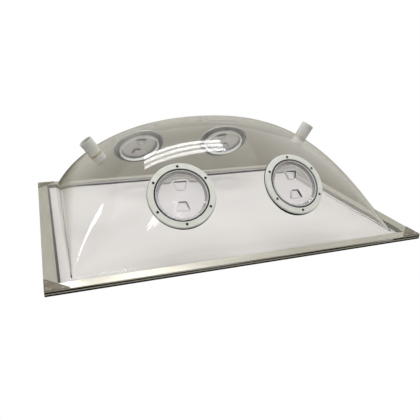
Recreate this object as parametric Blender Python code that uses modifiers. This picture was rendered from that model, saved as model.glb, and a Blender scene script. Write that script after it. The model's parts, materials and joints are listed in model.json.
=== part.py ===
"""Clear dome hatch: a blown acrylic hood on a clamped frame, with four screw-out
deck plates in its sides and two pipe vents through its shoulders.

Metres, +Z up. The origin is the centre of the underside of the base seal, X runs
along the hatch and the front is at -Y.
"""
import math

import bmesh
import bpy
from mathutils import Matrix, Vector

MM = 0.001
GAP = 0.3 * MM                          # left between pieces that touch

# Frame: outline, then the layers from the deck up
FRAME_LENGTH = 1.220
FRAME_WIDTH = 0.949
RAIL_WIDTH = 37 * MM
EDGE_INSET = 0.5 * MM                   # seal, flange and gussets stop this short of the rails
SEAL_THICKNESS = 5 * MM
SEAL_WIDTH = 44.5 * MM                  # the seal shows inside the rails
BASE_RAIL_THICKNESS = 3 * MM
ACRYLIC_THICKNESS = 4.5 * MM
CLAMP_RAIL_THICKNESS = 3.2 * MM
GUSSET_THICKNESS = 1.6 * MM

BASE_RAIL_LOW = SEAL_THICKNESS + GAP
FLANGE_LOW = BASE_RAIL_LOW + BASE_RAIL_THICKNESS + GAP
FLANGE_TOP = FLANGE_LOW + ACRYLIC_THICKNESS
CLAMP_RAIL_LOW = FLANGE_TOP + GAP
GUSSET_LOW = CLAMP_RAIL_LOW + CLAMP_RAIL_THICKNESS + GAP
GUSSET_TOP = GUSSET_LOW + GUSSET_THICKNESS

# Corner gussets and their rivets
GUSSET_LEG = 67 * MM
GUSSET_TIP = 3 * MM
RIVET_EDGE = 7 * MM                     # from the frame's edge
RIVET_NEAR = 16 * MM                    # along each leg, from the corner
RIVET_FAR = 49 * MM
RIVET_RADIUS = 2.6 * MM
RIVET_HEIGHT = 1.3 * MM

# Dome: height = rise * span_curve(x) * span_curve(y), over the flange's top
DOME_RISE = 0.3435
DOME_HALF_LENGTH = 0.5375
DOME_HALF_WIDTH = 0.4145
LENGTH_POWER, LENGTH_FLATNESS = 2.156, 0.480
WIDTH_POWER, WIDTH_FLATNESS = 2.086, 0.641
FOOT_FILLET = 8 * MM
GRID_STEPS_X, GRID_STEPS_Y = 10, 8       # from the middle to the foot
FILLET_STEPS = 2

# The hood is drawn up towards each deck plate, so that a flat collar seats on it
SEAT_DRAW = 0.6                         # share of the way to the collar's plane
SEAT_GASKET = 2 * MM                    # gasket left where the hood meets that plane
SEAT_RADIUS, SEAT_FADE = 95 * MM, 90 * MM
SEAT_LIMIT = 16 * MM                    # most that the wall is drawn
SEAT_HOLD = 50 * MM                     # height over the flange where the draw dies out

# Deck plates: centre of the collar's top face, and which way it faces
PORT_X, PORT_Y, PORT_Z = 0.1908, 0.3350, 0.1963
PORT_ELEVATION = math.radians(40.3)
PORT_LEAN = math.radians(6.5)
TURN_STEPS = 24
COLLAR_RADIUS = 105 * MM
COLLAR_THICKNESS = 6.5 * MM
NECK_RADIUS = 83 * MM
NECK_BORE = 79.5 * MM
NECK_END = -27 * MM
NECK_HOLE = 83.6 * MM
RECESS_RADIUS = 85.65 * MM
LEDGE = -5 * MM
LIP_RADIUS = 81.4 * MM
DISH_RADIUS = 71 * MM
DISH_DEPTH = 6 * MM
COVER_WALL = 3.5 * MM
SKIRT_RADIUS = 78.5 * MM
SKIRT_WALL = 3 * MM
SKIRT_END = -17 * MM
ORING_WIRE = 1.6 * MM
GASKET_RADIUS = 106 * MM
GASKET_BLANK = -32 * MM                 # before it is shaped to the dome

# Finger pockets in the covers: a trapezoid, wider towards the rim
POCKET_INNER, POCKET_OUTER = 20 * MM, 47 * MM
POCKET_INNER_WIDTH, POCKET_OUTER_WIDTH = 23 * MM, 42 * MM
POCKET_FLOOR = -15 * MM
POCKET_WALL = 2 * MM

# Screws of the deck plates
SCREWS_PER_PORT = 6
SCREW_CIRCLE = 93.4 * MM
SCREW_HEAD_RADIUS, SCREW_HEAD_TOP = 4 * MM, 2.2 * MM
SCREW_RADIUS, SCREW_END = 1.9 * MM, -26 * MM
SCREW_HOLE = 2.3 * MM
SCREW_SIDES = 6

# Vents: heights run outwards from the dome's surface along its normal
VENT_LEFT_X, VENT_RIGHT_X = -0.402, 0.390
VENT_STEPS = 16
VENT_RADIUS = 23.2 * MM
VENT_BORE = 20.2 * MM
VENT_LENGTH = 57 * MM
VENT_THROAT_BORE = 14.5 * MM
SPIGOT_RADIUS, SPIGOT_BORE = 16.5 * MM, 13 * MM
SPIGOT_TOP, SPIGOT_SHOULDER, SPIGOT_END = 13.7 * MM, -7.5 * MM, -31 * MM
SPIGOT_POCKET = -12 * MM
VENT_HOLE = 17.2 * MM
WASHER_RADIUS = 23.9 * MM
WASHER_TOP = 2.7 * MM

# Each port: side of the hatch along X and Y, twist of its screws, turn of its cover
PORTS = {
    "front_left": (-1, -1, 2.6, 0.0),
    "front_right": (1, -1, -2.6, -6.0),
    "rear_left": (-1, 1, 0.0, 5.0),
    "rear_right": (1, 1, 0.0, -17.0),
}
SIDES = {
    "front": (0, FRAME_LENGTH, FRAME_WIDTH),
    "right": (90, FRAME_WIDTH, FRAME_LENGTH),
    "rear": (180, FRAME_LENGTH, FRAME_WIDTH),
    "left": (270, FRAME_WIDTH, FRAME_LENGTH),
}


# ---------------------------------------------------------------- scene and materials

def clear_scene():
    for thing in list(bpy.data.objects):
        bpy.data.objects.remove(thing, do_unlink=True)


def new_collection(name):
    collection = bpy.data.collections.new(name)
    bpy.context.scene.collection.children.link(collection)
    return collection


def new_material(name, colour, roughness, metallic=0.0, transmission=0.0):
    material = bpy.data.materials.new(name)
    material.use_nodes = True
    shader = material.node_tree.nodes["Principled BSDF"]
    shader.inputs["Base Color"].default_value = (*colour, 1.0)
    shader.inputs["Roughness"].default_value = roughness
    shader.inputs["Metallic"].default_value = metallic
    shader.inputs["Transmission Weight"].default_value = transmission
    return material


clear_scene()
PARTS = new_collection("dome_hatch")
CUTTERS = new_collection("cutters")

ACRYLIC = new_material("clear_acrylic", (0.90, 0.92, 0.91), 0.03, transmission=1.0)
CLEAR_COVER = new_material("clear_cover", (0.86, 0.88, 0.88), 0.12, transmission=0.9)
COLLAR_PLASTIC = new_material("collar_plastic", (0.70, 0.72, 0.69), 0.32)
RAIL_METAL = new_material("rail_metal", (0.46, 0.44, 0.37), 0.38, metallic=0.7)
GUSSET_METAL = new_material("gusset_metal", (0.30, 0.27, 0.22), 0.42, metallic=0.7)
RUBBER = new_material("black_rubber", (0.015, 0.015, 0.016), 0.65)
SCREW_METAL = new_material("screw_metal", (0.03, 0.03, 0.03), 0.35, metallic=0.9)
PVC = new_material("white_pvc", (0.82, 0.82, 0.79), 0.35)
WASHER = new_material("washer_rubber", (0.62, 0.56, 0.36), 0.6)


# ---------------------------------------------------------------- modelling helpers

def add_object(name, data, material, collection=PARTS, parent=None):
    thing = bpy.data.objects.new(name, data)
    collection.objects.link(thing)
    thing.parent = parent
    if material and not data.materials:
        data.materials.append(material)
    if collection == CUTTERS:
        thing.hide_render = True
        thing.display_type = "WIRE"
    return thing


def profile_mesh(name, profile, closed):
    """The half section of a turned piece: (radius, height) points, outer side downwards."""
    points = [(radius, 0, height) for radius, height in profile]
    edges = [(i, i + 1) for i in range(len(points) - 1)]
    if closed:
        edges.append((len(points) - 1, 0))
    mesh = bpy.data.meshes.new(name)
    mesh.from_pydata(points, edges, [])
    return mesh


def turned(name, mesh, steps, material, parent, collection=PARTS):
    """A profile mesh turned about the local Z axis."""
    thing = add_object(name, mesh, material, collection, parent)
    screw = thing.modifiers.new("turn", "SCREW")
    screw.steps = screw.render_steps = steps
    screw.use_merge_vertices = True
    screw.merge_threshold = 0.01 * MM
    screw.use_smooth_shade = True
    return thing


def plate(name, outlines, low, thickness, material, collection=PARTS, parent=None):
    """A flat plate with the given outlines; an outline inside another is a hole."""
    curve = bpy.data.curves.new(name, "CURVE")
    curve.dimensions = "2D"
    curve.fill_mode = "BOTH"
    curve.extrude = thickness / 2
    for outline in outlines:
        spline = curve.splines.new("POLY")
        spline.points.add(len(outline) - 1)
        for point, (x, y) in zip(spline.points, outline):
            point.co = (x, y, 0, 1)
        spline.use_cyclic_u = True
    thing = add_object(name, curve, material, collection, parent)
    thing.location.z = low + thickness / 2
    return thing


def as_mesh(curve_object):
    """Swap a curve object for a mesh object of the same name, place and material."""
    bpy.context.view_layer.update()
    graph = bpy.context.evaluated_depsgraph_get()
    name, collection = curve_object.name, curve_object.users_collection[0]
    parent, place = curve_object.parent, curve_object.matrix_world.copy()
    mesh = bpy.data.meshes.new_from_object(curve_object.evaluated_get(graph))
    shape = bmesh.new()
    shape.from_mesh(mesh)
    bmesh.ops.remove_doubles(shape, verts=shape.verts, dist=0.01 * MM)
    shape.to_mesh(mesh)
    shape.free()
    bpy.data.objects.remove(curve_object, do_unlink=True)
    thing = add_object(name, mesh, None, collection, parent)
    thing.matrix_world = place
    return thing


def boolean(target, tool, operation="DIFFERENCE"):
    modifier = target.modifiers.new(operation.lower(), "BOOLEAN")
    modifier.operation = operation
    modifier.object = tool


def drill_mesh(name, holes, low, high, sides):
    """Closed cylinders along Z: one for each (x, y, radius)."""
    shape = bmesh.new()
    for x, y, radius in holes:
        place = Matrix.Translation((x, y, (low + high) / 2))
        bmesh.ops.create_cone(shape, cap_ends=True, segments=sides, radius1=radius,
                              radius2=radius, depth=high - low, matrix=place)
    mesh = bpy.data.meshes.new(name)
    shape.to_mesh(mesh)
    shape.free()
    return mesh


# ---------------------------------------------------------------- the dome's surface

def span_curve(distance, half_span, power, flatness):
    """1 at the middle, a fillet at the foot, 0 on the flange."""
    foot = FOOT_FILLET / DOME_RISE
    if distance <= half_span:
        return foot + (1 - foot) * (1 - (distance / half_span) ** power) ** flatness
    across = min((distance - half_span) / FOOT_FILLET, 1.0)
    return foot * (1 - math.sqrt(1 - (1 - across) ** 2))


def ease(share):
    """From 0 to 1 with no kink at either end."""
    share = min(max(share, 0), 1)
    return share ** 3 * (share * (6 * share - 15) + 10)


def port_axis(side_x, side_y):
    level = math.cos(PORT_ELEVATION)
    return Vector((side_x * level * math.sin(PORT_LEAN),
                   side_y * level * math.cos(PORT_LEAN), math.sin(PORT_ELEVATION)))


def dome_height(x, y):
    along = span_curve(abs(x), DOME_HALF_LENGTH, LENGTH_POWER, LENGTH_FLATNESS)
    across = span_curve(abs(y), DOME_HALF_WIDTH, WIDTH_POWER, WIDTH_FLATNESS)
    blown = FLANGE_TOP + DOME_RISE * along * across
    axis = port_axis(1, 1)
    seat = Vector((PORT_X, PORT_Y, PORT_Z)) - axis * (COLLAR_THICKNESS + SEAT_GASKET)
    flat = seat.z - (axis.x * (abs(x) - seat.x) + axis.y * (abs(y) - seat.y)) / axis.z
    beyond = (Vector((abs(x), abs(y), flat)) - seat).length - SEAT_RADIUS
    fade = ease(1 - beyond / SEAT_FADE)
    hold = ease((blown - FLANGE_TOP) / SEAT_HOLD)
    return blown + SEAT_DRAW * fade * hold * SEAT_LIMIT * math.tanh((flat - blown) / SEAT_LIMIT)


def dome_normal(x, y):
    step = 0.1 * MM
    slope_x = (dome_height(x + step, y) - dome_height(x - step, y)) / (2 * step)
    slope_y = (dome_height(x, y + step) - dome_height(x, y - step)) / (2 * step)
    return Vector((-slope_x, -slope_y, 1)).normalized()


def grid_lines(half_span, power, steps, edge):
    """Distances from the middle: even turns over the dome, the fillet, then the edge."""
    dome = [half_span * math.sin(math.pi / 2 * i / steps) ** (2 / power)
            for i in range(steps)]
    fillet = [half_span + FOOT_FILLET * (1 - math.cos(math.pi / 2 * i / FILLET_STEPS))
              for i in range(FILLET_STEPS + 1)]
    return dome + fillet + [edge]


def dome_grid():
    """The hood's outer surface and its flange, as an open grid."""
    lines_x = grid_lines(DOME_HALF_LENGTH, LENGTH_POWER, GRID_STEPS_X,
                         FRAME_LENGTH / 2 - EDGE_INSET)
    lines_y = grid_lines(DOME_HALF_WIDTH, WIDTH_POWER, GRID_STEPS_Y,
                         FRAME_WIDTH / 2 - EDGE_INSET)
    shape = bmesh.new()
    bmesh.ops.create_grid(shape, x_segments=2 * len(lines_x) - 2,
                          y_segments=2 * len(lines_y) - 2, size=1.0)
    for vert in shape.verts:
        index_x = round(abs(vert.co.x) * (len(lines_x) - 1))
        index_y = round(abs(vert.co.y) * (len(lines_y) - 1))
        x = math.copysign(lines_x[index_x], vert.co.x)
        y = math.copysign(lines_y[index_y], vert.co.y)
        vert.co = (x, y, dome_height(x, y))
    bmesh.ops.triangulate(shape, faces=shape.faces, quad_method="FIXED")
    shape.normal_update()
    return shape


def make_dome():
    shape = dome_grid()
    mesh = bpy.data.meshes.new("dome")
    shape.to_mesh(mesh)
    shape.free()
    dome = add_object("dome", mesh, ACRYLIC)
    shell = dome.modifiers.new("wall", "SOLIDIFY")
    shell.thickness = ACRYLIC_THICKNESS
    shell.offset = -1
    shell.use_even_offset = True
    mesh.shade_smooth()
    return dome


def make_dome_clearance():
    """Everything under the hood's outer surface, grown by the gap: it shapes the gaskets."""
    shape = dome_grid()
    for vert in shape.verts:
        vert.co += vert.normal * GAP
    base = bmesh.ops.extrude_face_region(shape, geom=shape.faces[:])
    for vert in base["geom"]:
        if isinstance(vert, bmesh.types.BMVert):
            vert.co.z = -SEAL_THICKNESS
    bmesh.ops.recalc_face_normals(shape, faces=shape.faces)
    mesh = bpy.data.meshes.new("dome_clearance")
    shape.to_mesh(mesh)
    shape.free()
    return add_object("dome_clearance", mesh, None, CUTTERS)


# ---------------------------------------------------------------- frame

def make_rails(layer, low, thickness):
    """Four mitred rails; each lies along its side of the frame."""
    mitre = GAP / math.sqrt(2)
    for side, (turn, run, cross) in SIDES.items():
        outer = run / 2 - mitre
        inner = run / 2 - RAIL_WIDTH - mitre
        outline = [(-outer, -cross / 2), (outer, -cross / 2),
                   (inner, RAIL_WIDTH - cross / 2), (-inner, RAIL_WIDTH - cross / 2)]
        rail = plate(f"{layer}_{side}", [outline], low, thickness, RAIL_METAL)
        rail.rotation_euler.z = math.radians(turn)


def rectangle(length, width):
    x, y = length / 2, width / 2
    return [(-x, -y), (x, -y), (x, y), (-x, y)]


def make_base_seal():
    outer = rectangle(FRAME_LENGTH - 2 * EDGE_INSET, FRAME_WIDTH - 2 * EDGE_INSET)
    inner = rectangle(FRAME_LENGTH - 2 * (EDGE_INSET + SEAL_WIDTH),
                      FRAME_WIDTH - 2 * (EDGE_INSET + SEAL_WIDTH))
    plate("base_seal", [outer, inner], 0, SEAL_THICKNESS, RUBBER)


def make_gusset(name, side_x, side_y, rivet_mesh):
    """A triangular corner plate with four rivet heads."""
    def from_corner(along_x, along_y):
        return (side_x * (FRAME_LENGTH / 2 - along_x), side_y * (FRAME_WIDTH / 2 - along_y))

    tip = EDGE_INSET + GUSSET_TIP
    outline = [from_corner(EDGE_INSET, EDGE_INSET), from_corner(GUSSET_LEG, EDGE_INSET),
               from_corner(GUSSET_LEG, tip), from_corner(tip, GUSSET_LEG),
               from_corner(EDGE_INSET, GUSSET_LEG)]
    gusset = as_mesh(plate(name, [outline], GUSSET_LOW, GUSSET_THICKNESS, GUSSET_METAL))
    spots = [(RIVET_EDGE, RIVET_FAR), (RIVET_EDGE, RIVET_NEAR),
             (RIVET_NEAR, RIVET_EDGE), (RIVET_FAR, RIVET_EDGE)]
    for number, spot in enumerate(spots):
        rivet = turned(f"{name}_rivet_{number}", rivet_mesh, SCREW_SIDES, None, None, CUTTERS)
        rivet.location = (*from_corner(*spot), GUSSET_TOP)
        boolean(gusset, rivet, "UNION")


def make_frame():
    make_base_seal()
    make_rails("base_rail", BASE_RAIL_LOW, BASE_RAIL_THICKNESS)
    make_rails("clamp_rail", CLAMP_RAIL_LOW, CLAMP_RAIL_THICKNESS)
    rivet_mesh = profile_mesh("rivet", [
        (0, RIVET_HEIGHT), (0.6 * RIVET_RADIUS, 0.8 * RIVET_HEIGHT),
        (RIVET_RADIUS, 0.2 * RIVET_HEIGHT), (RIVET_RADIUS, -GUSSET_THICKNESS / 2),
        (0, -GUSSET_THICKNESS / 2)], closed=False)
    for corner, (side_x, side_y, _, _) in PORTS.items():
        make_gusset(f"corner_gusset_{corner}", side_x, side_y, rivet_mesh)


# ---------------------------------------------------------------- deck plates

def port_frame(name, side_x, side_y, twist):
    """An empty at the centre of a collar's top face: Z outwards, X level."""
    outwards = port_axis(side_x, side_y)
    sideways = Vector((0, 0, 1)).cross(outwards).normalized()
    upwards = outwards.cross(sideways)
    turn = Matrix((sideways, upwards, outwards)).transposed().to_4x4()
    place = Matrix.Translation((side_x * PORT_X, side_y * PORT_Y, PORT_Z))
    frame = add_object(f"port_axis_{name}", None, None)
    frame.matrix_world = place @ turn @ Matrix.Rotation(math.radians(twist), 4, "Z")
    return frame


def pocket_outlines(grow):
    """The two finger pockets of a cover, on opposite sides of its middle."""
    low, high = POCKET_INNER - grow, POCKET_OUTER + grow
    inner, outer = POCKET_INNER_WIDTH / 2 + grow, POCKET_OUTER_WIDTH / 2 + grow
    trapezoid = [(-inner, low), (inner, low), (outer, high), (-outer, high)]
    return [trapezoid, [(-x, -y) for x, y in trapezoid]]


def port_meshes():
    """The turned sections and drills that the four deck plates share."""
    under = -COLLAR_THICKNESS
    collar = [(COLLAR_RADIUS - 4.5 * MM, 0), (COLLAR_RADIUS - 1.4 * MM, -1.3 * MM),
              (COLLAR_RADIUS, -4.2 * MM), (COLLAR_RADIUS, under),
              (NECK_RADIUS, under), (NECK_RADIUS, NECK_END),
              (NECK_BORE, NECK_END), (NECK_BORE, LEDGE),
              (RECESS_RADIUS, LEDGE), (RECESS_RADIUS, -0.6 * MM),
              (RECESS_RADIUS + 0.7 * MM, 0)]
    lip_low = LEDGE + GAP
    panel_low = -DISH_DEPTH - COVER_WALL
    cover = [(0, -DISH_DEPTH), (DISH_RADIUS, -DISH_DEPTH),
             (SKIRT_RADIUS, 0), (LIP_RADIUS - 0.5 * MM, 0),
             (LIP_RADIUS, -0.6 * MM), (LIP_RADIUS, lip_low),
             (SKIRT_RADIUS, lip_low), (SKIRT_RADIUS, SKIRT_END),
             (SKIRT_RADIUS - SKIRT_WALL, SKIRT_END), (SKIRT_RADIUS - SKIRT_WALL, panel_low),
             (0, panel_low)]
    ring_radius = RECESS_RADIUS - GAP - ORING_WIRE
    ring_height = LEDGE + GAP + ORING_WIRE
    oring = [(ring_radius + ORING_WIRE * math.cos(turn), ring_height - ORING_WIRE * math.sin(turn))
             for turn in (math.radians(60 * i) for i in range(6))]
    gasket = [(GASKET_RADIUS, under - GAP), (GASKET_RADIUS, GASKET_BLANK),
              (NECK_HOLE, GASKET_BLANK), (NECK_HOLE, under - GAP)]
    screw = [(0, SCREW_HEAD_TOP), (0.8 * SCREW_HEAD_RADIUS, 0.85 * SCREW_HEAD_TOP),
             (SCREW_HEAD_RADIUS, GAP), (SCREW_RADIUS, GAP),
             (SCREW_RADIUS, SCREW_END), (0, SCREW_END)]
    deep = 2 * GASKET_BLANK
    return {
        "collar": profile_mesh("port_collar", collar, closed=True),
        "cover": profile_mesh("port_cover", cover, closed=False),
        "oring": profile_mesh("port_oring", oring, closed=True),
        "gasket": profile_mesh("port_gasket", gasket, closed=True),
        "screw": profile_mesh("port_screw", screw, closed=False),
        "screw_drill": drill_mesh("screw_drill", [(*spot, SCREW_HOLE) for spot in screw_spots()],
                                  deep, -deep, SCREW_SIDES),
        "neck_drill": drill_mesh("neck_drill", [(0, 0, NECK_HOLE)], deep, -deep, TURN_STEPS),
    }


def screw_spots():
    turns = [math.radians(30 + 360 / SCREWS_PER_PORT * i) for i in range(SCREWS_PER_PORT)]
    return [(SCREW_CIRCLE * math.cos(turn), SCREW_CIRCLE * math.sin(turn)) for turn in turns]


def make_port(name, side_x, side_y, twist, cover_turn, meshes, dome, clearance):
    frame = port_frame(name, side_x, side_y, twist)
    screw_drill = add_object(f"screw_drill_{name}", meshes["screw_drill"], None, CUTTERS, frame)
    neck_drill = add_object(f"neck_drill_{name}", meshes["neck_drill"], None, CUTTERS, frame)
    boolean(dome, neck_drill)
    boolean(dome, screw_drill)

    collar = turned(f"port_collar_{name}", meshes["collar"], TURN_STEPS, COLLAR_PLASTIC, frame)
    boolean(collar, screw_drill)
    gasket = turned(f"port_gasket_{name}", meshes["gasket"], TURN_STEPS, RUBBER, frame)
    boolean(gasket, clearance)
    boolean(gasket, screw_drill)
    turned(f"port_oring_{name}", meshes["oring"], TURN_STEPS, RUBBER, frame)

    cover = turned(f"port_cover_{name}", meshes["cover"], TURN_STEPS, CLEAR_COVER, frame)
    cover.rotation_euler.z = math.radians(cover_turn - twist)
    shell_low = POCKET_FLOOR - POCKET_WALL
    shell = plate(f"pocket_shell_{name}", pocket_outlines(POCKET_WALL), shell_low,
                  -DISH_DEPTH - COVER_WALL / 2 - shell_low, None, CUTTERS, cover)
    space = plate(f"pocket_space_{name}", pocket_outlines(0), POCKET_FLOOR,
                  -POCKET_FLOOR, None, CUTTERS, cover)
    boolean(cover, as_mesh(shell), "UNION")
    boolean(cover, as_mesh(space))

    for number, spot in enumerate(screw_spots(), start=1):
        screw = turned(f"port_screw_{name}_{number}", meshes["screw"], SCREW_SIDES,
                       SCREW_METAL, frame)
        screw.location = (*spot, 0)


# ---------------------------------------------------------------- vents

def vent_meshes():
    """The turned sections and the drill that both vents share."""
    low, seat, throat = WASHER_TOP + GAP, SPIGOT_TOP + GAP, SPIGOT_TOP + 3.3 * MM
    chamfer = 0.6 * MM
    socket = [(VENT_RADIUS - chamfer, VENT_LENGTH), (VENT_RADIUS, VENT_LENGTH - chamfer),
              (VENT_RADIUS, low), (VENT_HOLE, low), (VENT_HOLE, seat),
              (VENT_THROAT_BORE, seat), (VENT_THROAT_BORE, throat), (VENT_BORE, throat),
              (VENT_BORE, VENT_LENGTH - chamfer), (VENT_BORE + chamfer, VENT_LENGTH)]
    spigot = [(SPIGOT_RADIUS, SPIGOT_TOP), (SPIGOT_RADIUS, SPIGOT_SHOULDER),
              (VENT_RADIUS, SPIGOT_SHOULDER), (VENT_RADIUS, SPIGOT_END),
              (VENT_BORE, SPIGOT_END), (VENT_BORE, SPIGOT_POCKET),
              (SPIGOT_BORE, SPIGOT_POCKET), (SPIGOT_BORE, SPIGOT_TOP)]
    washer = [(WASHER_RADIUS, WASHER_TOP), (WASHER_RADIUS, -WASHER_TOP),
              (VENT_HOLE, -WASHER_TOP), (VENT_HOLE, WASHER_TOP)]
    return {
        "socket": profile_mesh("vent_socket", socket, closed=True),
        "spigot": profile_mesh("vent_spigot", spigot, closed=True),
        "washer": profile_mesh("vent_washer", washer, closed=True),
        "drill": drill_mesh("vent_drill", [(0, 0, VENT_HOLE)], -VENT_LENGTH / 2,
                            VENT_LENGTH / 2, VENT_STEPS),
    }


def make_vent(side, x, meshes, dome, clearance):
    axis = dome_normal(x, 0)
    frame = add_object(f"vent_axis_{side}", None, None)
    frame.location = (x, 0, dome_height(x, 0))
    frame.rotation_euler.y = math.atan2(axis.x, axis.z)
    boolean(dome, add_object(f"vent_drill_{side}", meshes["drill"], None, CUTTERS, frame))
    turned(f"vent_socket_{side}", meshes["socket"], VENT_STEPS, PVC, frame)
    turned(f"vent_spigot_{side}", meshes["spigot"], VENT_STEPS, PVC, frame)
    washer = turned(f"vent_washer_{side}", meshes["washer"], VENT_STEPS, WASHER, frame)
    boolean(washer, clearance)


# ---------------------------------------------------------------- assembly

make_frame()
hood = make_dome()
under_hood = make_dome_clearance()
shared_port = port_meshes()
for port, (port_side_x, port_side_y, screw_twist, lid_turn) in PORTS.items():
    make_port(port, port_side_x, port_side_y, screw_twist, lid_turn,
              shared_port, hood, under_hood)
shared_vent = vent_meshes()
make_vent("left", VENT_LEFT_X, shared_vent, hood, under_hood)
make_vent("right", VENT_RIGHT_X, shared_vent, hood, under_hood)
bpy.context.view_layer.update()
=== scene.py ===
"""Looks of the domed deck hatch: a blown acrylic hood on a clamped frame, with four
screw-out deck plates and two pipe vents. Metres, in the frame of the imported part."""
import json
import math

import bmesh
import bpy
from mathutils import Matrix, Vector


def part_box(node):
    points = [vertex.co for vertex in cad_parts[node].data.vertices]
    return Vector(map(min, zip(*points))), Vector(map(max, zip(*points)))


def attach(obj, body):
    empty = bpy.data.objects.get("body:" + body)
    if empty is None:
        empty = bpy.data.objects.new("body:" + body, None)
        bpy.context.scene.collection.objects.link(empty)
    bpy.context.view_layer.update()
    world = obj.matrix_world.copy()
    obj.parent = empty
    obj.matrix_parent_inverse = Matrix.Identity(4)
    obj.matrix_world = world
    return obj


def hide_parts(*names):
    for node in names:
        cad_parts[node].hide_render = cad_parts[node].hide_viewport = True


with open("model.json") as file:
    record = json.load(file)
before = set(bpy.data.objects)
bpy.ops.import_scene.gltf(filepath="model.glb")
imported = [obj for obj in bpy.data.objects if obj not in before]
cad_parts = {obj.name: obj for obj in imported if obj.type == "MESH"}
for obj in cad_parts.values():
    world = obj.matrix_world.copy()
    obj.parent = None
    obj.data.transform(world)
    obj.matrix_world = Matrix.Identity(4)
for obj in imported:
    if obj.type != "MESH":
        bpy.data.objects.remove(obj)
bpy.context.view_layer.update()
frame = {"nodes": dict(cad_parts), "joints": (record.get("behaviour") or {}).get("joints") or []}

MM = 0.001
GAP = 0.3 * MM
TURN_STEPS = 96

# Frame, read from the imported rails
CORNER_LOW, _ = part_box("clamp_rail_left")
RAIL_LOW, RAIL_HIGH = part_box("clamp_rail_front")
HALF_LENGTH = -CORNER_LOW.x
HALF_WIDTH = -RAIL_LOW.y
FLANGE_TOP = RAIL_LOW.z - GAP
EDGE_INSET = 0.5 * MM
ACRYLIC = FLANGE_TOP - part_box("dome")[0].z

# Dome: height = rise * span_curve(x) * span_curve(y), over the flange's top
DOME_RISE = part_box("dome")[1].z - FLANGE_TOP
DOME_HALF_LENGTH = 0.5375
DOME_HALF_WIDTH = 0.4145
LENGTH_POWER, LENGTH_FLATNESS = 2.156, 0.480
WIDTH_POWER, WIDTH_FLATNESS = 2.086, 0.641
FOOT_FILLET = 8 * MM
DOME_STEPS_X, DOME_STEPS_Y, FILLET_STEPS, FLANGE_STEPS = 60, 48, 8, 4

# Seats of the deck plates, where the hood is drawn towards the collars
SEAT_DRAW = 0.6
SEAT_GASKET = 2 * MM
SEAT_RADIUS, SEAT_FADE = 95 * MM, 90 * MM
SEAT_LIMIT = 16 * MM
SEAT_HOLD = 50 * MM

# Deck plates: heights run outwards from the collar's top face
COLLAR_RADIUS = 105 * MM
COLLAR_THICKNESS = 6.5 * MM
NECK_RADIUS, NECK_BORE, NECK_END = 83 * MM, 79.5 * MM, -27 * MM
NECK_HOLE = 83.6 * MM
RECESS_RADIUS, LEDGE = 85.65 * MM, -5 * MM
LIP_RADIUS = 81.4 * MM
DISH_RADIUS, DISH_DEPTH = 71 * MM, 6 * MM
COVER_WALL = 3.5 * MM
SKIRT_RADIUS, SKIRT_WALL, SKIRT_END = 78.5 * MM, 3 * MM, -17 * MM
ORING_GAP = 0.15 * MM                     # the squeezed ring nearly fills its groove
GASKET_RADIUS = 106 * MM
THREAD_LEAD, THREAD_STARTS = 12 * MM, 3
THREAD_WIDTH, THREAD_HEIGHT, THREAD_ROOT = 1.5 * MM, 0.7 * MM, 0.1 * MM
NECK_THREAD_LOW, NECK_THREAD_HIGH = -24 * MM, -8 * MM
POCKET_INNER, POCKET_OUTER = 20 * MM, 47 * MM
POCKET_INNER_WIDTH, POCKET_OUTER_WIDTH = 23 * MM, 42 * MM
POCKET_FLOOR, POCKET_WALL, POCKET_DRAFT = -15 * MM, 2 * MM, 1 * MM
SCREWS_PER_PORT = 6
SCREW_CIRCLE, SCREW_RADIUS, SCREW_END = 93.4 * MM, 1.9 * MM, -26 * MM
SCREW_HEAD_RADIUS, SCREW_HEAD_HEIGHT = 4.1 * MM, 2.2 * MM
SCREW_HOLE = 2.3 * MM

# Each port: twist of its screws and turn of its cover, in degrees
PORTS = {
    "front_left": (2.6, 0.0),
    "front_right": (-2.6, -6.0),
    "rear_left": (0.0, 5.0),
    "rear_right": (0.0, -17.0),
}

# Vents: heights run outwards from the hood's surface
VENT_SPOTS = {"left": -0.402, "right": 0.390}
VENT_RADIUS, VENT_BORE, VENT_LENGTH = 23.2 * MM, 20.2 * MM, 57 * MM
VENT_THROAT = 14.5 * MM
VENT_HOLE = 17.2 * MM
SPIGOT_RADIUS, SPIGOT_BORE = 16.5 * MM, 13 * MM
SPIGOT_TOP, SPIGOT_SHOULDER, SPIGOT_END = 13.7 * MM, -7.5 * MM, -31 * MM
SPIGOT_POCKET = -12 * MM
WASHER_RADIUS, WASHER_TOP, WASHER_END = 23.9 * MM, 2.3 * MM, -1.4 * MM
VENT_STEPS = 72

# Corner gussets and rivets
GUSSET_LEG, GUSSET_TIP, GUSSET_THICKNESS = 67 * MM, 3 * MM, 1.6 * MM
GUSSET_LOW = RAIL_HIGH.z + GAP
RIVET_EDGE, RIVET_NEAR, RIVET_FAR = 7 * MM, 16 * MM, 49 * MM
RIVET_RADIUS, RIVET_HEIGHT = 2.6 * MM, 1.3 * MM


# ---------------------------------------------------------------- materials

def add_node(tree, kind, **settings):
    node = tree.nodes.new(kind)
    for key, value in settings.items():
        if hasattr(node, key):
            setattr(node, key, value)
        else:
            node.inputs[key.replace("_", " ")].default_value = value
    return node


def new_material(name, colour, roughness, metallic=0.0):
    material = bpy.data.materials.new(name)
    material.use_nodes = True
    shader = material.node_tree.nodes["Principled BSDF"]
    shader.inputs["Base Color"].default_value = (*colour, 1)
    shader.inputs["Roughness"].default_value = roughness
    shader.inputs["Metallic"].default_value = metallic
    return material, material.node_tree, shader


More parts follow.
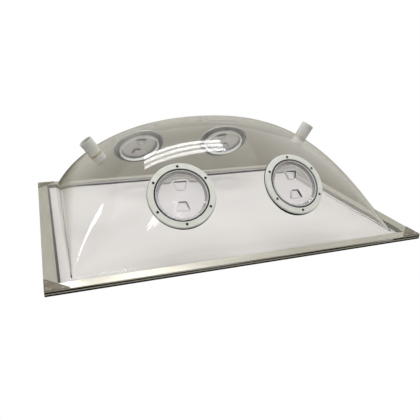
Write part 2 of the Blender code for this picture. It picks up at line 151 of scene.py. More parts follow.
def noise(tree, scale, detail=4.0, stretch=(1, 1, 1)):
    """Object-space noise; a larger stretch number means finer grain along that axis."""
    place = add_node(tree, "ShaderNodeTexCoord")
    mapping = add_node(tree, "ShaderNodeMapping")
    mapping.inputs["Scale"].default_value = stretch
    texture = add_node(tree, "ShaderNodeTexNoise", Scale=scale, Detail=detail)
    tree.links.new(place.outputs["Object"], mapping.inputs["Vector"])
    tree.links.new(mapping.outputs["Vector"], texture.inputs["Vector"])
    return texture.outputs["Fac"]


def spread(tree, value, low, high):
    """Noise runs from about 0.3 to 0.7: this maps that onto low..high."""
    mapped = add_node(tree, "ShaderNodeMapRange")
    for socket, number in (("From Min", 0.3), ("From Max", 0.7), ("To Min", low), ("To Max", high)):
        mapped.inputs[socket].default_value = number
    tree.links.new(value, mapped.inputs["Value"])
    return mapped.outputs["Result"]


def two_tone(tree, shader, value, dark, light):
    ramp = add_node(tree, "ShaderNodeValToRGB")
    ramp.color_ramp.elements[0].position = 0.32
    ramp.color_ramp.elements[1].position = 0.68
    ramp.color_ramp.elements[0].color = (*dark, 1)
    ramp.color_ramp.elements[1].color = (*light, 1)
    tree.links.new(value, ramp.inputs["Fac"])
    tree.links.new(ramp.outputs["Color"], shader.inputs["Base Color"])


def bump(tree, shader, value, strength, distance):
    node = add_node(tree, "ShaderNodeBump", Strength=strength, Distance=distance)
    tree.links.new(value, node.inputs["Height"])
    tree.links.new(node.outputs["Normal"], shader.inputs["Normal"])


def clear_plastic(name, tint, low_rough, high_rough, ior, waviness, smudge_scale):
    """Clear plastic that lets lamps through, with smudges and a slight waviness."""
    material, tree, shader = new_material(name, tint, low_rough)
    shader.inputs["Transmission Weight"].default_value = 1.0
    shader.inputs["IOR"].default_value = ior
    smudges = noise(tree, smudge_scale, 6.0)
    tree.links.new(spread(tree, smudges, low_rough, high_rough), shader.inputs["Roughness"])
    bump(tree, shader, noise(tree, 7.0, 1.0), waviness, 20 * MM)
    rays = add_node(tree, "ShaderNodeLightPath")
    either = add_node(tree, "ShaderNodeMath", operation="MAXIMUM")
    tree.links.new(rays.outputs["Is Shadow Ray"], either.inputs[0])
    tree.links.new(rays.outputs["Is Diffuse Ray"], either.inputs[1])
    through = add_node(tree, "ShaderNodeBsdfTransparent", Color=(*tint, 1))
    mix = add_node(tree, "ShaderNodeMixShader")
    tree.links.new(either.outputs["Value"], mix.inputs["Fac"])
    tree.links.new(shader.outputs["BSDF"], mix.inputs[1])
    tree.links.new(through.outputs["BSDF"], mix.inputs[2])
    tree.links.new(mix.outputs["Shader"], tree.nodes["Material Output"].inputs["Surface"])
    return material


def paint_wall_shade(material, face_on, wall, clearness):
    """Painted shade: walls that run along the turning axis are given a dark base colour, in place
    of the darkness that edges of thick clear moulding show from the way light passes through them.
    """
    tree = material.node_tree
    shader = tree.nodes["Principled BSDF"]
    shader.inputs["Transmission Weight"].default_value = clearness
    place = add_node(tree, "ShaderNodeTexCoord")
    split = add_node(tree, "ShaderNodeSeparateXYZ")
    level = add_node(tree, "ShaderNodeMath", operation="ABSOLUTE")
    # painted shade: the dark wall colour goes on faces whose normal lies near level, the face-on
    # colour on faces along the axis
    ramp = add_node(tree, "ShaderNodeValToRGB")
    ramp.color_ramp.elements[0].position = 0.35
    ramp.color_ramp.elements[0].color = (*wall, 1)
    ramp.color_ramp.elements[1].position = 0.75
    ramp.color_ramp.elements[1].color = (*face_on, 1)
    tree.links.new(place.outputs["Normal"], split.inputs["Vector"])
    tree.links.new(split.outputs["Z"], level.inputs[0])
    tree.links.new(level.outputs["Value"], ramp.inputs["Fac"])
    tree.links.new(ramp.outputs["Color"], shader.inputs["Base Color"])


def rail_metal(name, grain):
    """Mill-finish aluminium, drawn along the rail, with dull patches."""
    material, tree, shader = new_material(name, (0.50, 0.48, 0.42), 0.4, 0.65)
    lines = noise(tree, 60.0, 3.0, grain)
    two_tone(tree, shader, noise(tree, 9.0, 5.0, grain), (0.50, 0.485, 0.425), (0.57, 0.555, 0.49))
    tree.links.new(spread(tree, lines, 0.30, 0.48), shader.inputs["Roughness"])
    bump(tree, shader, lines, 0.12, 0.2 * MM)
    return material


def gusset_metal():
    material, tree, shader = new_material("gusset_metal", (0.28, 0.25, 0.20), 0.42, 0.7)
    two_tone(tree, shader, noise(tree, 40.0, 6.0), (0.20, 0.175, 0.135), (0.33, 0.295, 0.235))
    tree.links.new(spread(tree, noise(tree, 160.0, 4.0, (1, 4, 1)), 0.32, 0.55),
                   shader.inputs["Roughness"])
    bump(tree, shader, noise(tree, 400.0, 3.0), 0.15, 0.1 * MM)
    return material


def plain_metal(name, dark, light, roughness, metallic):
    material, tree, shader = new_material(name, light, roughness, metallic)
    two_tone(tree, shader, noise(tree, 300.0, 4.0), dark, light)
    tree.links.new(spread(tree, noise(tree, 500.0, 3.0), roughness - 0.08, roughness + 0.1),
                   shader.inputs["Roughness"])
    return material


def moulded_plastic(name, dark, light, roughness, speckle):
    """Satin moulding: faint mottling, handling marks in the gloss, a fine moulded skin."""
    material, tree, shader = new_material(name, light, roughness)
    two_tone(tree, shader, noise(tree, 30.0, 5.0), dark, light)
    tree.links.new(spread(tree, noise(tree, 90.0, 5.0), roughness - 0.06, roughness + 0.12),
                   shader.inputs["Roughness"])
    bump(tree, shader, noise(tree, speckle, 2.0), 0.08, 0.1 * MM)
    return material


def black_rubber(name, grain, strength):
    material, tree, shader = new_material(name, (0.014, 0.014, 0.015), 0.7)
    shader.inputs["Specular IOR Level"].default_value = 0.1
    two_tone(tree, shader, noise(tree, 60.0, 5.0), (0.003, 0.003, 0.003), (0.011, 0.011, 0.012))
    tree.links.new(spread(tree, noise(tree, 120.0, 4.0), 0.55, 0.85), shader.inputs["Roughness"])
    bump(tree, shader, noise(tree, grain, 4.0), strength, 0.3 * MM)
    return material


HOOD_ACRYLIC = clear_plastic("hood_acrylic", (0.98, 0.975, 0.972), 0.0, 0.03, 1.49, 0.02, 14.0)
COVER_CLEAR = clear_plastic("cover_clear", (0.92, 0.915, 0.93), 0.03, 0.09, 1.5, 0.01, 60.0)
# Painted shade on the covers: pocket walls, skirt walls and threads darkened in the base colour
paint_wall_shade(COVER_CLEAR, (0.93, 0.92, 0.94), (0.07, 0.07, 0.08), 0.86)
RAIL_X = rail_metal("rail_metal_long", (1, 12, 12))
RAIL_Y = rail_metal("rail_metal_short", (12, 1, 12))
GUSSET = gusset_metal()
RIVET = plain_metal("rivet_metal", (0.52, 0.54, 0.54), (0.74, 0.77, 0.77), 0.28, 0.9)
SCREW = plain_metal("screw_metal", (0.006, 0.006, 0.006), (0.018, 0.018, 0.019), 0.45, 0.0)
SCREW.node_tree.nodes["Principled BSDF"].inputs["Specular IOR Level"].default_value = 0.2
COLLAR = moulded_plastic("collar_plastic", (0.78, 0.80, 0.76), (0.85, 0.87, 0.835), 0.33, 900.0)
PVC = moulded_plastic("white_pvc", (0.60, 0.60, 0.59), (0.72, 0.72, 0.705), 0.16, 700.0)
WASHER = moulded_plastic("washer_rubber", (0.52, 0.45, 0.26), (0.62, 0.55, 0.34), 0.55, 800.0)
FOAM = black_rubber("seal_foam", 700.0, 0.5)
RUBBER = black_rubber("ring_rubber", 900.0, 0.15)


# ---------------------------------------------------------------- mesh helpers

def add_piece(name, mesh, material, body, replaces=(), place=None):
    """A visible piece in its place, riding on a body."""
    piece = bpy.data.objects.new(name, mesh)
    bpy.context.scene.collection.objects.link(piece)
    if place is not None:
        piece.matrix_world = place
    if not mesh.materials:
        mesh.materials.append(material)
    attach(piece, body)
    if replaces:
        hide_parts(*replaces)
    return piece


def mesh_from(shape, name, sharp=35):
    """A mesh from a bmesh: normals out, smooth apart from edges over the sharp angle."""
    bmesh.ops.recalc_face_normals(shape, faces=shape.faces)
    mesh = bpy.data.meshes.new(name)
    shape.to_mesh(mesh)
    shape.free()
    mesh.shade_smooth()
    mesh.set_sharp_from_angle(angle=math.radians(sharp))
    return mesh


def rounded(corners, closed=True, steps=4):
    """(x, y, fillet) corners as a smooth outline."""
    points = []
    for i, (x, y, fillet) in enumerate(corners):
        here = Vector((x, y))
        if fillet == 0:
            points.append(here)
            continue
        before = (Vector(corners[i - 1][:2]) - here).normalized()
        after = (Vector(corners[(i + 1) % len(corners)][:2]) - here).normalized()
        reach = fillet / math.tan(before.angle(after) / 2)
        start, end = here + before * reach, here + after * reach
        for k in range(steps + 1):
            t = k / steps
            points.append(start * (1 - t) ** 2 + here * 2 * t * (1 - t) + end * t ** 2)
    return points


def skin(shape, rings, closed_rings, closed_ends):
    """Faces between rings of vertices; a ring that is one repeated vertex is a pole."""
    last = len(rings) if closed_ends else len(rings) - 1
    for i in range(last):
        upper, lower = rings[i], rings[(i + 1) % len(rings)]
        for j in range(len(upper) if closed_rings else len(upper) - 1):
            k = (j + 1) % len(upper)
            corners = list(dict.fromkeys((upper[j], lower[j], lower[k], upper[k])))
            if len(corners) > 2:
                shape.faces.new(corners)


def turned(name, outline, closed=True, steps=TURN_STEPS, sharp=35):
    """An outline of (radius, height) points turned about Z."""
    shape = bmesh.new()
    rings = []
    for radius, height in outline:
        if radius < 0.001 * MM:
            rings.append([shape.verts.new((0, 0, height))] * steps)
        else:
            rings.append([shape.verts.new((radius * math.cos(2 * math.pi * i / steps),
                                           radius * math.sin(2 * math.pi * i / steps), height))
                          for i in range(steps)])
    skin(shape, rings, True, closed)
    return mesh_from(shape, name, sharp)


def slab(name, lower, upper, low, high, sharp=35):
    """A solid between two outlines with the same number of points."""
    shape = bmesh.new()
    bottom = [shape.verts.new((x, y, low)) for x, y in lower]
    top = [shape.verts.new((x, y, high)) for x, y in upper]
    skin(shape, [bottom, top], True, False)
    shape.faces.new(bottom)
    shape.faces.new(top)
    return mesh_from(shape, name, sharp)


def ridge(shape, radius, height, width, start, turns, low, lead):
    """A screw thread's ridge: a triangle swept along a helix about Z."""
    steps = int(TURN_STEPS * turns / 2)
    rings = []
    for i in range(steps + 1):
        angle = start + 2 * math.pi * turns * i / steps
        rise = low + lead * turns * i / steps
        taper = min(1, 8 * min(i, steps - i) / steps)
        section = [(radius, rise - width / 2), (radius + height * taper, rise),
                   (radius, rise + width / 2)]
        rings.append([shape.verts.new((r * math.cos(angle), r * math.sin(angle), z))
                      for r, z in section])
    skin(shape, rings, True, False)
    shape.faces.new(rings[0])
    shape.faces.new(rings[-1])


def thread(name, radius, height, low, high, phase):
    """All starts of one thread between two heights."""
    shape = bmesh.new()
    turns = (high - low) / THREAD_LEAD
    for start in range(THREAD_STARTS):
        angle = 2 * math.pi * start / THREAD_STARTS + phase
        ridge(shape, radius, height, THREAD_WIDTH, angle, turns, low, THREAD_LEAD)
    return mesh_from(shape, name, 60)


def cylinders(name, holes, low, high):
    """Closed cylinders along Z for (x, y, radius, steps)."""
    shape = bmesh.new()
    for x, y, radius, steps in holes:
        bmesh.ops.create_cone(shape, cap_ends=True, segments=steps, radius1=radius,
                              radius2=radius, depth=high - low,
                              matrix=Matrix.Translation((x, y, (low + high) / 2)))
    mesh = bpy.data.meshes.new(name)
    shape.to_mesh(mesh)
    shape.free()
    return mesh


def settle(mesh, *tools):
    """The mesh after Booleans: each tool is (mesh, place, operation)."""
    target = bpy.data.objects.new("carved", mesh)
    bpy.context.scene.collection.objects.link(target)
    helpers = []
    for tool_mesh, place, operation in tools:
        tool = bpy.data.objects.new("tool", tool_mesh)
        bpy.context.scene.collection.objects.link(tool)
        tool.matrix_world = place
        modifier = target.modifiers.new("cut", "BOOLEAN")
        modifier.operation, modifier.object = operation, tool
        helpers.append(tool)
    bpy.context.view_layer.update()
    graph = bpy.context.evaluated_depsgraph_get()
    result = bpy.data.meshes.new_from_object(target.evaluated_get(graph))
    for helper in [target] + helpers:
        bpy.data.objects.remove(helper)
    result.shade_smooth()
    result.set_sharp_from_angle(angle=math.radians(35))
    return result


# ---------------------------------------------------------------- the hood's surface

def port_place(name, turn=0.0):
    """Centre of a collar's top face, Z outwards and X level, as the joints say."""
    joint = next(j for j in frame["joints"] if j["name"] == f"turn_{name}")
    outwards = Vector(joint["axis"]).normalized()
    sideways = Vector((0, 0, 1)).cross(outwards).normalized()
    turned_frame = Matrix((sideways, outwards.cross(sideways), outwards)).transposed().to_4x4()
    spin = Matrix.Rotation(math.radians(turn), 4, "Z")
    return Matrix.Translation(joint["pos_m"]) @ turned_frame @ spin


SEAT_PLACE = port_place("rear_right")
SEAT_AXIS = SEAT_PLACE.to_3x3().col[2]
SEAT_CENTRE = SEAT_PLACE.translation - SEAT_AXIS * (COLLAR_THICKNESS + SEAT_GASKET)


def ease(share):
    """0 to 1, with no jump in slope or curvature at either end."""
    share = min(max(share, 0), 1)
    return share ** 3 * (share * (6 * share - 15) + 10)


def span_curve(distance, half_span, power, flatness):
    """1 at the middle, a fillet at the foot, 0 on the flange."""
    foot = FOOT_FILLET / DOME_RISE
    if distance <= half_span:
        return foot + (1 - foot) * (1 - (distance / half_span) ** power) ** flatness
    across = min((distance - half_span) / FOOT_FILLET, 1.0)
    return foot * (1 - math.sqrt(1 - (1 - across) ** 2))


def blown_height(x, y):
    along = span_curve(abs(x), DOME_HALF_LENGTH, LENGTH_POWER, LENGTH_FLATNESS)
    across = span_curve(abs(y), DOME_HALF_WIDTH, WIDTH_POWER, WIDTH_FLATNESS)
    return FLANGE_TOP + DOME_RISE * along * across


def dome_height(x, y):
    """The blown form, drawn towards the flat seats of the deck plates."""
    blown = blown_height(x, y)
    x, y = abs(x), abs(y)
    fall = SEAT_AXIS.x * (x - SEAT_CENTRE.x) + SEAT_AXIS.y * (y - SEAT_CENTRE.y)
    flat = SEAT_CENTRE.z - fall / SEAT_AXIS.z
    beyond = (Vector((x, y, flat)) - SEAT_CENTRE).length - SEAT_RADIUS
    fade = ease(1 - beyond / SEAT_FADE)
    hold = ease((blown - FLANGE_TOP) / SEAT_HOLD)
    return blown + SEAT_DRAW * fade * hold * SEAT_LIMIT * math.tanh((flat - blown) / SEAT_LIMIT)


def surface_normal(height, x, y):
    step = 0.1 * MM
    slope_x = (height(x + step, y) - height(x - step, y)) / (2 * step)
    slope_y = (height(x, y + step) - height(x, y - step)) / (2 * step)
    return Vector((-slope_x, -slope_y, 1)).normalized()


def grid_lines(half_span, power, steps, edge):
    """Distances from the middle: even turns over the dome, the fillet, then the flange."""
    dome = [half_span * math.sin(math.pi / 2 * i / steps) ** (2 / power) for i in range(steps)]
    fillet = [half_span + FOOT_FILLET * (1 - math.cos(math.pi / 2 * i / FILLET_STEPS))
              for i in range(FILLET_STEPS + 1)]
    flange = [fillet[-1] + (edge - fillet[-1]) * i / FLANGE_STEPS
              for i in range(1, FLANGE_STEPS + 1)]
    return dome + fillet + flange


def vent_place(x):
    """A spot on the hood's crest, Z along the surface's normal."""
    axis = surface_normal(dome_height, x, 0)
    turn = Matrix.Rotation(math.atan2(axis.x, axis.z), 4, "Y")
    return Matrix.Translation((x, 0, dome_height(x, 0))) @ turn


def screw_spots():
    """Where the screws stand on a collar, about its axis."""
    turns = [math.radians(30 + 360 / SCREWS_PER_PORT * i) for i in range(SCREWS_PER_PORT)]
    return [(SCREW_CIRCLE * math.cos(turn), SCREW_CIRCLE * math.sin(turn)) for turn in turns]


def even_gloss(mesh):
    """Shading normals of the blown form, so that reflections run smoothly past the seats."""
    normals = []
    for face in mesh.polygons:
        for corner in face.loop_indices:
            normal = mesh.corner_normals[corner].vector.copy()
            spot = mesh.vertices[mesh.loops[corner].vertex_index].co
            ideal = surface_normal(blown_height, spot.x, spot.y)
            facing = face.normal.dot(ideal)
            if abs(facing) > 0.9:
                weight = ease((spot.z - SEAT_HOLD) / SEAT_HOLD)
                normal = normal.lerp(ideal if facing > 0 else -ideal, weight).normalized()
            normals.append(normal)
    mesh.normals_split_custom_set(normals)
    return mesh


def make_hood():
    """The blown shell with its flange, at a fine pitch, drilled for plates and vents."""
    lines_x = grid_lines(DOME_HALF_LENGTH, LENGTH_POWER, DOME_STEPS_X, HALF_LENGTH - EDGE_INSET)
    lines_y = grid_lines(DOME_HALF_WIDTH, WIDTH_POWER, DOME_STEPS_Y, HALF_WIDTH - EDGE_INSET)
    xs = [-x for x in reversed(lines_x[1:])] + lines_x
    ys = [-y for y in reversed(lines_y[1:])] + lines_y
    shape = bmesh.new()
    rows = [[shape.verts.new((x, y, dome_height(x, y))) for x in xs] for y in ys]
    skin(shape, rows, False, False)
    for face in shape.faces:
        face.normal_update()
        if face.normal.z < 0:
            face.normal_flip()
    mesh = bpy.data.meshes.new("hood")
    shape.to_mesh(mesh)
    shape.free()
    shell = bpy.data.objects.new("hood_blank", mesh)
    bpy.context.scene.collection.objects.link(shell)
    wall = shell.modifiers.new("wall", "SOLIDIFY")
    wall.thickness, wall.offset, wall.use_even_offset = ACRYLIC, -1, True
    bpy.context.view_layer.update()
    solid = bpy.data.meshes.new_from_object(
        shell.evaluated_get(bpy.context.evaluated_depsgraph_get()))
    bpy.data.objects.remove(shell)
    holes = [(0, 0, NECK_HOLE, TURN_STEPS)] + [(*spot, SCREW_HOLE, 16) for spot in screw_spots()]
    port_drill = cylinders("port_drill", holes, -45 * MM, 45 * MM)
    vent_drill = cylinders("vent_drill", [(0, 0, VENT_HOLE, 64)], -30 * MM, 30 * MM)
    tools = [(port_drill, port_place(name, twist), "DIFFERENCE")
             for name, (twist, _) in PORTS.items()]
    tools += [(vent_drill, vent_place(x), "DIFFERENCE") for x in VENT_SPOTS.values()]
    return add_piece("hood_shell", even_gloss(settle(solid, *tools)), HOOD_ACRYLIC,
                     "hood", ["dome"])


# ---------------------------------------------------------------- deck plates

def collar_mesh():
    """A flange with a raised bead, a recess for the cover and a neck through the hood."""
    bead = 0.5 * MM
    outline = rounded([
        (RECESS_RADIUS, bead, 0.5 * MM), (90 * MM, bead, 0.4 * MM), (90.6 * MM, 0, 0.4 * MM),
        (COLLAR_RADIUS - 1.5 * MM, 0, 2.2 * MM), (COLLAR_RADIUS, -3.2 * MM, 1.0 * MM),
        (COLLAR_RADIUS, -COLLAR_THICKNESS, 0.3 * MM), (NECK_RADIUS, -COLLAR_THICKNESS, 0),
        (NECK_RADIUS, NECK_END, 0.6 * MM), (NECK_BORE, NECK_END, 0.6 * MM),
        (NECK_BORE, LEDGE, 0.4 * MM), (RECESS_RADIUS, LEDGE, 0)])
    drill = cylinders("collar_drill", [(*spot, SCREW_HOLE, 16) for spot in screw_spots()],
                      -20 * MM, 20 * MM)
    return settle(turned("port_collar", outline), (drill, Matrix.Identity(4), "DIFFERENCE"))


def pocket_outline(grow, side):
    """One finger pocket's outline, wider towards the rim; side is 1 or -1."""
    low, high = POCKET_INNER - grow, POCKET_OUTER + grow
    inner, outer = POCKET_INNER_WIDTH / 2 + grow, POCKET_OUTER_WIDTH / 2 + grow
    corner = 3.5 * MM + grow
    return [point * side for point in rounded([
        (-inner, low, corner), (inner, low, corner), (outer, high, corner),
        (-outer, high, corner)], steps=6)]


def cover_mesh():
    """A dished disc with a skirt and two finger pockets."""
    lip_low = LEDGE + GAP
    panel_low = -DISH_DEPTH - COVER_WALL
    outline = rounded([
        (0, -DISH_DEPTH, 0), (DISH_RADIUS - 1 * MM, -DISH_DEPTH, 3 * MM),
        (SKIRT_RADIUS - 0.6 * MM, 0, 0.8 * MM), (LIP_RADIUS, 0, 0.6 * MM),
        (LIP_RADIUS, lip_low, 0.3 * MM), (SKIRT_RADIUS, lip_low, 0),
        (SKIRT_RADIUS, SKIRT_END, 0.6 * MM), (SKIRT_RADIUS - SKIRT_WALL, SKIRT_END, 0.6 * MM),
        (SKIRT_RADIUS - SKIRT_WALL, panel_low, 1.5 * MM), (0, panel_low, 0)])
    tools = []
    for side in (1, -1):
        shell = slab("pocket_shell", pocket_outline(POCKET_WALL - POCKET_DRAFT, side),
                     pocket_outline(POCKET_WALL, side), POCKET_FLOOR - POCKET_WALL,
                     -DISH_DEPTH - COVER_WALL / 2)
        tools.append((shell, Matrix.Identity(4), "UNION"))
    for side in (1, -1):
        space = slab("pocket_space", pocket_outline(-POCKET_DRAFT, side),
                     pocket_outline(0, side), POCKET_FLOOR, -DISH_DEPTH + 1 * MM)
        tools.append((space, Matrix.Identity(4), "DIFFERENCE"))
    return settle(turned("port_cover", outline, closed=False), *tools)


def screw_mesh():
    """A pan head with a cross recess."""
    head = [(0, SCREW_HEAD_HEIGHT + GAP, 0), (SCREW_HEAD_RADIUS * 0.75, SCREW_HEAD_HEIGHT, 1 * MM),
            (SCREW_HEAD_RADIUS, 0.7 * MM, 0.5 * MM), (SCREW_HEAD_RADIUS, GAP, 0.1 * MM),
            (SCREW_RADIUS, GAP, 0), (SCREW_RADIUS, SCREW_END, 0.4 * MM), (0, SCREW_END, 0)]
    body = turned("port_screw", rounded(head, steps=3), closed=False, steps=24)
    half, wide = 0.35 * MM, 1.9 * MM
    arm = [(-wide, -half), (wide, -half), (wide, half), (-wide, half)]
    foot = [(x * 0.5, y * 0.6) for x, y in arm]
    blade = slab("recess", foot, arm, 0.9 * MM, SCREW_HEAD_HEIGHT + 1 * MM)
    quarter = Matrix.Rotation(math.pi / 2, 4, "Z")
    return settle(body, (blade, Matrix.Identity(4), "DIFFERENCE"), (blade, quarter, "DIFFERENCE"))


def gasket_mesh(name, place):
    """A ring with a flat top under the collar and an underside that lies on the hood."""
    inverse = place.to_3x3()
    outwards = inverse.col[2]
    radii = [NECK_HOLE + (GASKET_RADIUS - NECK_HOLE) * i / 5 for i in range(6)]
    top = -COLLAR_THICKNESS - 0.1 * MM
    shape = bmesh.new()
    upper, lower = [], []
    for radius in radii:
        upper_ring, lower_ring = [], []
        for i in range(TURN_STEPS):
            turn = 2 * math.pi * i / TURN_STEPS
            local = Vector((radius * math.cos(turn), radius * math.sin(turn), top))
            point = place @ local
            depth = 0.0
            for _ in range(25):
                below = point - outwards * depth
                depth += (below.z - dome_height(below.x, below.y)) * outwards.z * 0.6
            upper_ring.append(shape.verts.new(local))
            lower_ring.append(shape.verts.new(local - Vector((0, 0, depth - 0.1 * MM))))
        upper.append(upper_ring)
        lower.append(lower_ring)
    skin(shape, upper + lower[::-1], True, True)
    return mesh_from(shape, name)


def make_ports():
    """The four deck plates: what stays on the hood, and what rises and turns."""
    collar, cover, screw = collar_mesh(), cover_mesh(), screw_mesh()
    groove = ((LIP_RADIUS + RECESS_RADIUS) / 2, (LEDGE + GAP - ORING_GAP) / 2)
    squeezed = (RECESS_RADIUS - ORING_GAP - groove[0], -ORING_GAP - groove[1])
    oring = turned("port_oring", [
        (groove[0] + squeezed[0] * math.cos(math.pi * i / 10),
         groove[1] + squeezed[1] * math.sin(math.pi * i / 10)) for i in range(20)])
    inner_thread = thread("collar_thread", NECK_BORE + THREAD_ROOT, -THREAD_HEIGHT,
                          NECK_THREAD_LOW, NECK_THREAD_HIGH, math.pi / THREAD_STARTS)
    outer_thread = thread("cover_thread", SKIRT_RADIUS - THREAD_ROOT, THREAD_HEIGHT,
                          SKIRT_END + 1.2 * MM, LEDGE - 1 * MM, 0)
    for name, (twist, turn) in PORTS.items():
        place = port_place(name, twist)
        add_piece(f"collar_{name}", collar, COLLAR, "hood",
                  [f"port_collar_{name}"], place)
        add_piece(f"collar_thread_{name}", inner_thread, COLLAR, "hood",
                  place=place)
        add_piece(f"gasket_{name}", gasket_mesh("gasket", place), RUBBER, "hood",
                  [f"port_gasket_{name}"], place)
        add_piece(f"oring_{name}", oring, RUBBER, f"seal_{name}",
                  [f"port_oring_{name}"], place)
        cover_place = port_place(name, turn)
        add_piece(f"cover_{name}", cover, COVER_CLEAR, f"lid_{name}",
                  [f"port_cover_{name}"], cover_place)
        add_piece(f"cover_thread_{name}", outer_thread, COVER_CLEAR,
                  f"lid_{name}", place=place)
        for number, spot in enumerate(screw_spots(), start=1):
            tilt = Matrix.Rotation(math.radians(37 * number), 4, "Z")
            add_piece(f"screw_{name}_{number}", screw, SCREW, "hood",
                      [f"port_screw_{name}_{number}"],
                      place @ Matrix.Translation((*spot, 0)) @ tilt)


# ---------------------------------------------------------------- vents and frame

def make_vents():
    """Each a socket outside, a spigot through the wall and a washer between them."""
    low, seat, throat = WASHER_TOP + GAP, SPIGOT_TOP + GAP, SPIGOT_TOP + 3.3 * MM
    soft = 0.6 * MM
    socket = turned("vent_socket", rounded([
        (VENT_RADIUS, VENT_LENGTH, soft), (VENT_RADIUS, low, soft), (VENT_HOLE, low, 0),
        (VENT_HOLE, seat, 0), (VENT_THROAT, seat, 0), (VENT_THROAT, throat, 0),
        (VENT_BORE - 0.4 * MM, throat, soft), (VENT_BORE, VENT_LENGTH, soft)]), steps=VENT_STEPS)
    spigot = turned("vent_spigot", rounded([
        (SPIGOT_RADIUS, SPIGOT_TOP, 0.3 * MM), (SPIGOT_RADIUS, SPIGOT_SHOULDER, 0),
        (VENT_RADIUS, SPIGOT_SHOULDER, soft), (VENT_RADIUS, SPIGOT_END, soft),
        (VENT_BORE, SPIGOT_END, soft), (VENT_BORE, SPIGOT_POCKET, 0),
        (SPIGOT_BORE, SPIGOT_POCKET, 0), (SPIGOT_BORE, SPIGOT_TOP, 0.3 * MM)]), steps=VENT_STEPS)
    washer = turned("vent_washer", rounded([
        (WASHER_RADIUS, WASHER_TOP, 0.5 * MM), (WASHER_RADIUS, WASHER_END, 0),
        (VENT_HOLE, WASHER_END, 0), (VENT_HOLE, WASHER_TOP, 0)]), steps=VENT_STEPS)
    for name, x in VENT_SPOTS.items():
        place = vent_place(x)
        for kind, mesh, material, slot in (("socket", socket, PVC, "white_pvc"),
                                           ("spigot", spigot, PVC, "white_pvc"),
                                           ("washer", washer, WASHER, "washer_rubber")):
            add_piece(f"{kind}_{name}", mesh, material, "hood",
                      [f"vent_{kind}_{name}"], place)


def soften_edges(node, width):
    """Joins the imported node's faces and rounds its edges."""
    weld = node.modifiers.new("weld", "WELD")
    weld.merge_threshold = 0.01 * MM
    edge = node.modifiers.new("edges", "BEVEL")
    edge.width, edge.segments, edge.limit_method = width, 2, "ANGLE"
    edge.harden_normals = False


def make_frame():
    """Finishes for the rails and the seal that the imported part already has."""
    for side, material in (("front", RAIL_X), ("rear", RAIL_X), ("left", RAIL_Y),
                           ("right", RAIL_Y)):
        for layer in ("clamp_rail", "base_rail"):
            rail = frame["nodes"][f"{layer}_{side}"]
            rail.data.materials.clear()
            rail.data.materials.append(material)
            soften_edges(rail, 0.5 * MM)
    seal = frame["nodes"]["base_seal"]
    seal.data.materials.clear()
    seal.data.materials.append(FOAM)
    soften_edges(seal, 0.8 * MM)


def gusset_mesh(side_x, side_y):
    """A triangular plate with blunt tips and softened edges."""
    tip = EDGE_INSET + GUSSET_TIP
    outline = [(EDGE_INSET, EDGE_INSET), (GUSSET_LEG, EDGE_INSET), (GUSSET_LEG, tip),
               (tip, GUSSET_LEG), (EDGE_INSET, GUSSET_LEG)]
    points = [(side_x * (HALF_LENGTH - x), side_y * (HALF_WIDTH - y)) for x, y in outline]
    return slab("gusset", points, points, GUSSET_LOW, GUSSET_LOW + GUSSET_THICKNESS)


def make_gussets():
    """The corner plates, and their blind rivets as pieces of their own."""
    stem = 0.9 * MM
    rivet = turned("rivet", rounded([
        (0, 0.4 * MM, 0), (stem, 0.4 * MM, 0), (stem, RIVET_HEIGHT, 0.15 * MM),
        (1.6 * MM, RIVET_HEIGHT, 0.5 * MM), (RIVET_RADIUS, 0.3 * MM, 0.2 * MM),
        (RIVET_RADIUS, -0.2 * MM, 0), (0, -0.2 * MM, 0)], steps=3), closed=False, steps=28)
    spots = [(RIVET_EDGE, RIVET_FAR), (RIVET_EDGE, RIVET_NEAR),
             (RIVET_NEAR, RIVET_EDGE), (RIVET_FAR, RIVET_EDGE)]
    for corner in PORTS:
        side_x = -1 if corner.endswith("left") else 1
        side_y = -1 if corner.startswith("front") else 1
        plate = add_piece(f"gusset_{corner}", gusset_mesh(side_x, side_y), GUSSET,
                          "hood", [f"corner_gusset_{corner}"])
        edge = plate.modifiers.new("edges", "BEVEL")
        edge.width, edge.segments = 0.3 * MM, 2
        for number, (x, y) in enumerate(spots, start=1):
            spot = (side_x * (HALF_LENGTH - x), side_y * (HALF_WIDTH - y),
                    GUSSET_LOW + GUSSET_THICKNESS)
            add_piece(f"rivet_{corner}_{number}", rivet, RIVET, "hood",
                      place=Matrix.Translation(spot))


# ---------------------------------------------------------------- studio

def make_camera():
    """A hand-held view from the front left, a little above the hood."""
    yaw, pitch, roll = math.radians(19.51), math.radians(21.55), math.radians(0.825)
    forward = Vector((math.sin(yaw) * math.cos(pitch), math.cos(yaw) * math.cos(pitch),
                      -math.sin(pitch)))
    level = forward.cross(Vector((0, 0, 1))).normalized()
    up = level.cross(forward)
    right = level * math.cos(roll) + up * math.sin(roll)
    top = up * math.cos(roll) - level * math.sin(roll)
    camera = bpy.data.objects.new("camera", bpy.data.cameras.new("camera"))
    camera.data.lens, camera.data.sensor_width = 41.38, 36
    camera.matrix_world = Matrix.Translation((-0.568, -1.653, 0.6884)) @ Matrix(
        (right, top, -forward)).transposed().to_4x4()
    bpy.context.scene.collection.objects.link(camera)
    bpy.context.scene.camera = camera


def strip_light(name, centre, aim, length, width, radiance, along=(1, 0, 0)):
    """A rectangular lamp with the given radiance, its length lying along a direction."""
    lamp = bpy.data.lights.new(name, "AREA")
    lamp.shape = "RECTANGLE"
    lamp.size, lamp.size_y = length, width
    lamp.energy = radiance * math.pi * length * width
    light = bpy.data.objects.new(name, lamp)
    back = (Vector(centre) - Vector(aim)).normalized()
    side = (Vector(along) - back * back.dot(Vector(along))).normalized()
    light.matrix_world = Matrix.Translation(centre) @ Matrix(
        (side, back.cross(side), back)).transposed().to_4x4()
    bpy.context.scene.collection.objects.link(light)
    return light


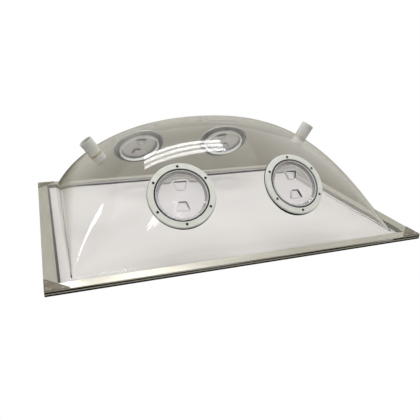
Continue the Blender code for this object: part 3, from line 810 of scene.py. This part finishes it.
def make_lights():
    """Ceiling tubes in threes with a pale tray between them, and soft light above and in front."""
    skew = (1, -0.1, 0)
    for number in (-1, 0, 1):
        y = 0.53 + 0.26 * number
        strip_light(f"tube_{number + 1}", (0.06, y, 2.3), (0.06, y, 0), 1.38, 0.09, 9.0, skew)
        y = 0.31 + 0.12 * number
        strip_light(f"tube_left_{number + 1}", (-2.45, y, 2.3), (-2.45, y, 0), 1.3, 0.06, 12.0)
        x = -0.16 + 0.10 * number
        strip_light(f"tube_front_{number + 1}", (x, -2.15, 2.3), (x, -2.15, 0), 0.05, 0.8, 9.0)
    strip_light("tray", (0.06, 0.53, 2.32), (0.06, 0.53, 0), 1.38, 0.66, 1.3, skew)
    strip_light("overhead", (0, 0.2, 3.2), (0, 0, 0), 3.4, 2.6, 0.4)
    glint = strip_light("rail_glint", (0.0, 2.3, 1.6), (-0.45, -0.455, 0), 0.9, 0.5, 19.0)
    shiny = bpy.data.collections.new("glint_receivers")
    shiny.objects.link(frame["nodes"]["clamp_rail_front"])
    glint.light_linking.receiver_collection = shiny
    strip_light("front_fill", (0.3, -4.2, 3.2), (0, -0.3, 0.1), 6.5, 3.4, 0.3)


def make_world():
    """White to the camera; to everything else a room with drab walls and a pale ceiling."""
    world = bpy.data.worlds.new("studio")
    bpy.context.scene.world = world
    world.use_nodes = True
    tree = world.node_tree
    tree.nodes.clear()
    place = add_node(tree, "ShaderNodeTexCoord")
    split = add_node(tree, "ShaderNodeSeparateXYZ")
    height = add_node(tree, "ShaderNodeMapRange")
    height.inputs["From Min"].default_value = -1
    ramp = add_node(tree, "ShaderNodeValToRGB")
    stops = [(0.0, (0.40, 0.39, 0.35)), (0.36, (0.215, 0.20, 0.15)), (0.43, (0.26, 0.245, 0.19)),
             (0.52, (0.62, 0.60, 0.53)), (0.64, (0.66, 0.65, 0.60)), (1.0, (0.52, 0.52, 0.51))]
    for position, colour in stops[1:-1]:
        ramp.color_ramp.elements.new(position)
    for element, (position, colour) in zip(ramp.color_ramp.elements, stops):
        element.position, element.color = position, (*colour, 1)
    room = add_node(tree, "ShaderNodeBackground", Strength=1.0)
    white = add_node(tree, "ShaderNodeBackground", Strength=1.0)
    white.inputs["Color"].default_value = (1, 1, 1, 1)
    rays = add_node(tree, "ShaderNodeLightPath")
    mix = add_node(tree, "ShaderNodeMixShader")
    output = add_node(tree, "ShaderNodeOutputWorld")
    tree.links.new(place.outputs["Generated"], split.inputs["Vector"])
    tree.links.new(split.outputs["Z"], height.inputs["Value"])
    tree.links.new(height.outputs["Result"], ramp.inputs["Fac"])
    tree.links.new(ramp.outputs["Color"], room.inputs["Color"])
    tree.links.new(rays.outputs["Is Camera Ray"], mix.inputs["Fac"])
    tree.links.new(room.outputs["Background"], mix.inputs[1])
    tree.links.new(white.outputs["Background"], mix.inputs[2])
    tree.links.new(mix.outputs["Shader"], output.inputs["Surface"])


def make_floor():
    """The pale table top inside the deck opening, seen through the hood."""
    shape = bmesh.new()
    inset = 15 * MM
    corners = [(-1, -1), (1, -1), (1, 1), (-1, 1)]
    shape.faces.new([shape.verts.new((x * (HALF_LENGTH - inset), y * (HALF_WIDTH - inset),
                                      -0.4 * MM)) for x, y in corners])
    floor = bpy.data.objects.new("floor", mesh_from(shape, "floor"))
    bpy.context.scene.collection.objects.link(floor)
    material, tree, shader = new_material("floor", (0.86, 0.85, 0.845), 0.5)
    two_tone(tree, shader, noise(tree, 3.0, 2.0), (0.82, 0.805, 0.805), (0.88, 0.865, 0.865))
    floor.data.materials.append(material)


make_camera()
make_world()
make_lights()
make_floor()
make_frame()
make_gussets()
make_hood()
make_ports()
make_vents()
bpy.context.scene.view_settings.view_transform = "Standard"
